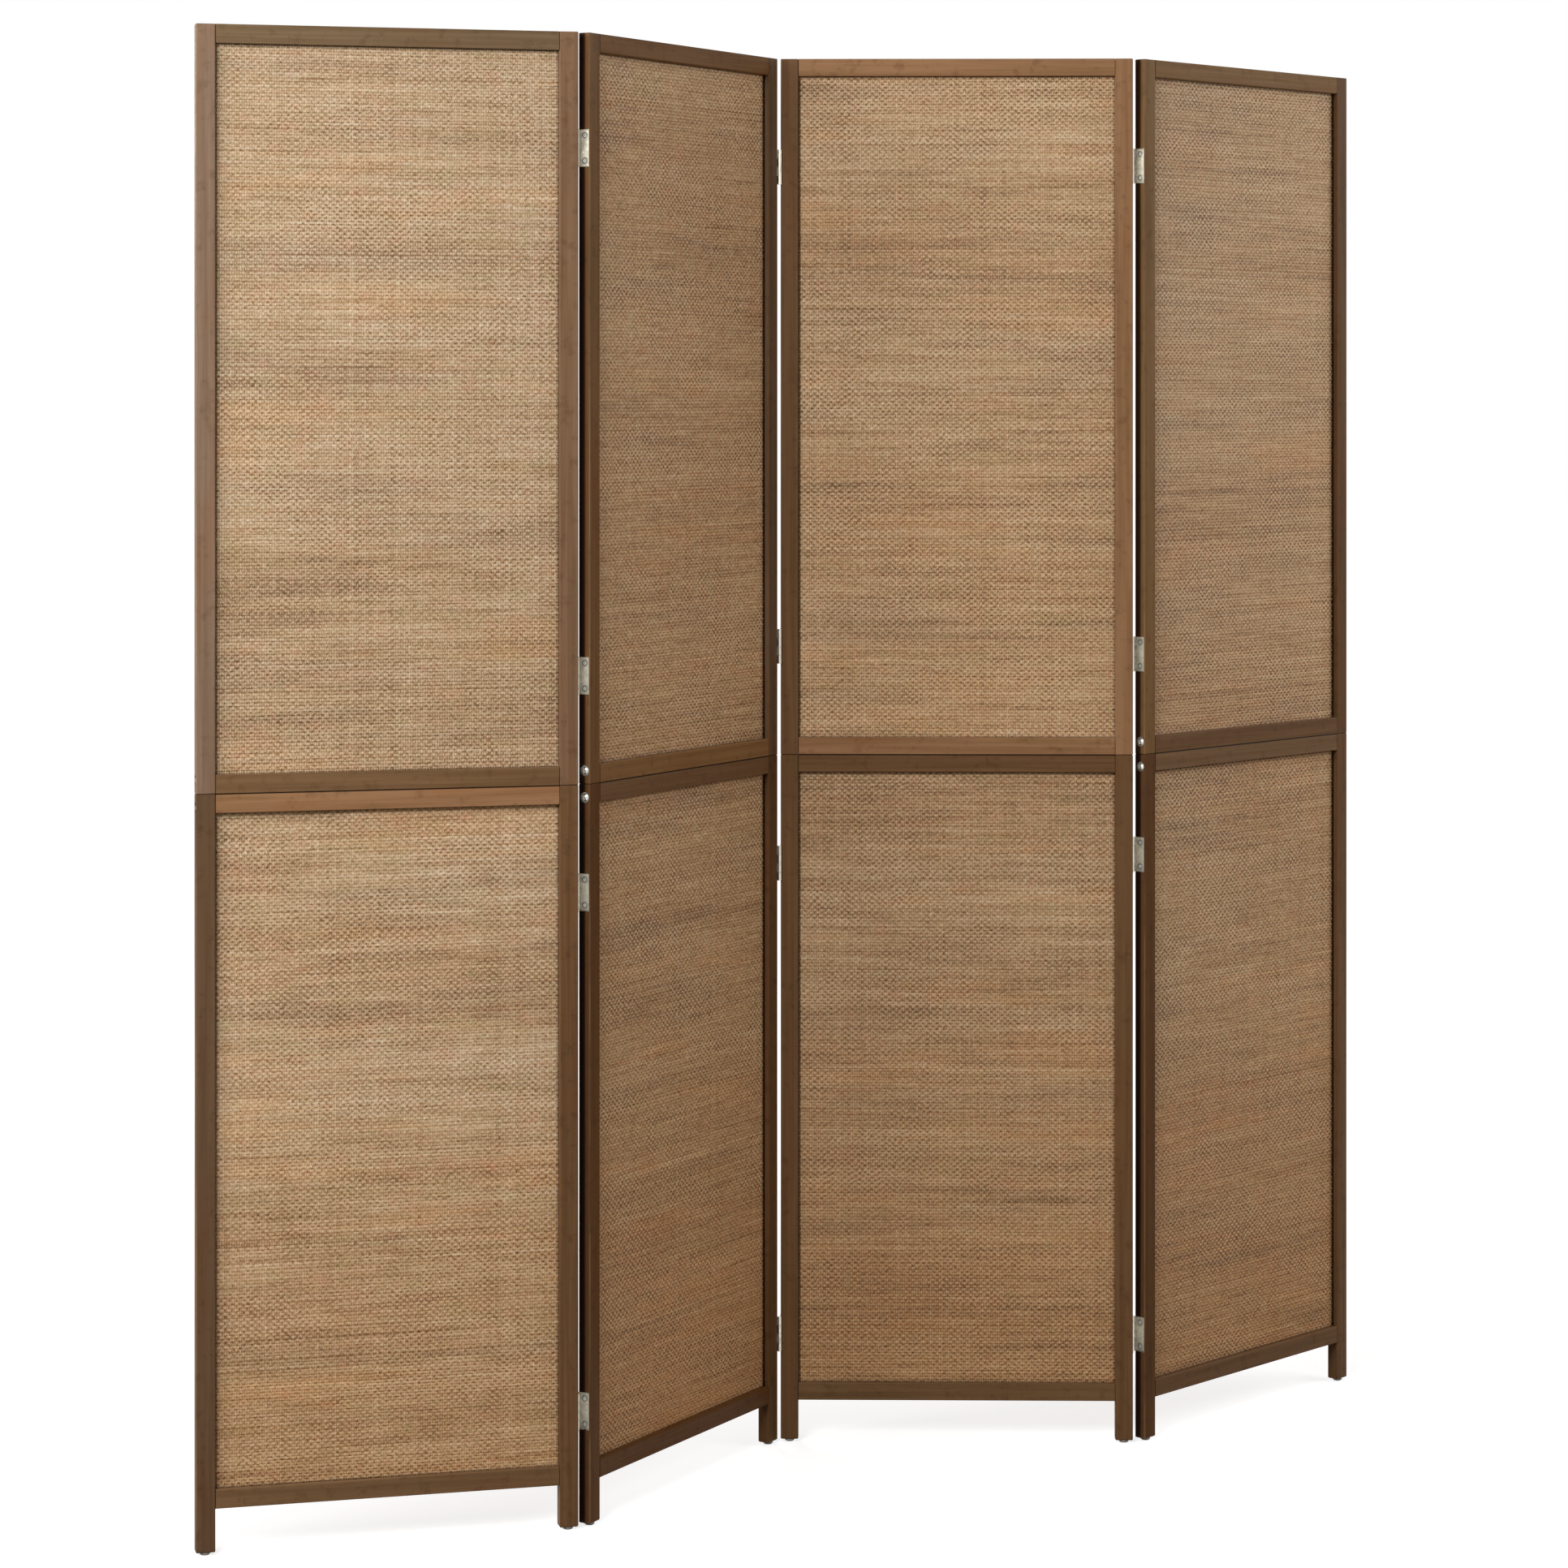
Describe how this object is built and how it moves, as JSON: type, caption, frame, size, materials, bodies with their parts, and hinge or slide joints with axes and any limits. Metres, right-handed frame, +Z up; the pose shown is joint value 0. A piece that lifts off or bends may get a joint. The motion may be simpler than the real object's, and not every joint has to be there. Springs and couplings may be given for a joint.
{
  "type": "folding screen",
  "caption": "Hinged folding screen of slim dark wooden frames, each split into an upper and a lower section, filled with woven bamboo mats and standing on plastic glides.",
  "frame": {"origin": "on the floor, at the centre of the plan of the opened screen at rest", "axes": "+Z up, +X to the right along the third panel seen from the front, -Y towards the front"},
  "size_m": [1.4576, 0.8974, 1.8],
  "materials": {
    "stile_wood": "walnut-brown stain, satin lacquer",
    "rail_wood": "walnut-brown stain, satin lacquer",
    "bamboo_weave": "woven split bamboo, matt",
    "hinge_steel": "bright zinc plate",
    "plate_steel": "plain steel",
    "glide_plastic": "grey moulded plastic"
  },
  "bodies": {
    "panel_1": {"panel_1_upper_left_stile": "stile_wood", "panel_1_upper_right_stile": "stile_wood", "panel_1_upper_top_rail": "rail_wood", "panel_1_upper_bottom_rail": "rail_wood", "panel_1_upper_mat": "bamboo_weave", "panel_1_lower_left_stile": "stile_wood", "panel_1_lower_right_stile": "stile_wood", "panel_1_lower_top_rail": "rail_wood", "panel_1_lower_bottom_rail": "rail_wood", "panel_1_lower_mat": "bamboo_weave", "panel_1_join_plates": "plate_steel", "panel_1_screws": "hinge_steel", "panel_1_glides": "glide_plastic", "panel_1_hinge_leaves": "hinge_steel"},
    "panel_2": {"panel_2_upper_left_stile": "stile_wood", "panel_2_upper_right_stile": "stile_wood", "panel_2_upper_top_rail": "rail_wood", "panel_2_upper_bottom_rail": "rail_wood", "panel_2_upper_mat": "bamboo_weave", "panel_2_lower_left_stile": "stile_wood", "panel_2_lower_right_stile": "stile_wood", "panel_2_lower_top_rail": "rail_wood", "panel_2_lower_bottom_rail": "rail_wood", "panel_2_lower_mat": "bamboo_weave", "panel_2_join_plates": "plate_steel", "panel_2_screws": "hinge_steel", "panel_2_glides": "glide_plastic", "panel_2_hinge_leaves": "hinge_steel", "hinge_12_pins": "hinge_steel", "hinge_23_pins": "hinge_steel"},
    "panel_3": {"panel_3_upper_left_stile": "stile_wood", "panel_3_upper_right_stile": "stile_wood", "panel_3_upper_top_rail": "rail_wood", "panel_3_upper_bottom_rail": "rail_wood", "panel_3_upper_mat": "bamboo_weave", "panel_3_lower_left_stile": "stile_wood", "panel_3_lower_right_stile": "stile_wood", "panel_3_lower_top_rail": "rail_wood", "panel_3_lower_bottom_rail": "rail_wood", "panel_3_lower_mat": "bamboo_weave", "panel_3_join_plates": "plate_steel", "panel_3_screws": "hinge_steel", "panel_3_glides": "glide_plastic", "panel_3_hinge_leaves": "hinge_steel", "hinge_34_pins": "hinge_steel"},
    "panel_4": {"panel_4_upper_left_stile": "stile_wood", "panel_4_upper_right_stile": "stile_wood", "panel_4_upper_top_rail": "rail_wood", "panel_4_upper_bottom_rail": "rail_wood", "panel_4_upper_mat": "bamboo_weave", "panel_4_lower_left_stile": "stile_wood", "panel_4_lower_right_stile": "stile_wood", "panel_4_lower_top_rail": "rail_wood", "panel_4_lower_bottom_rail": "rail_wood", "panel_4_lower_mat": "bamboo_weave", "panel_4_join_plates": "plate_steel", "panel_4_screws": "hinge_steel", "panel_4_glides": "glide_plastic", "panel_4_hinge_leaves": "hinge_steel"}
  },
  "joints": [
    {"name": "fold_12", "type": "hinge", "parent": "panel_2", "child": "panel_1", "pos_m": [-0.28703, -0.30874, 0.9], "axis": [0, 0, -1], "range_deg": [-46, 134]},
    {"name": "fold_23", "type": "hinge", "parent": "panel_2", "child": "panel_3", "pos_m": [-0.04932, 0.0863, 0.9], "axis": [0, 0, -1], "range_deg": [-61.5, 118.5]},
    {"name": "fold_34", "type": "hinge", "parent": "panel_3", "child": "panel_4", "pos_m": [0.41128, 0.1067, 0.9], "axis": [0, 0, 1], "range_deg": [-48.5, 131.5]}
  ]
}
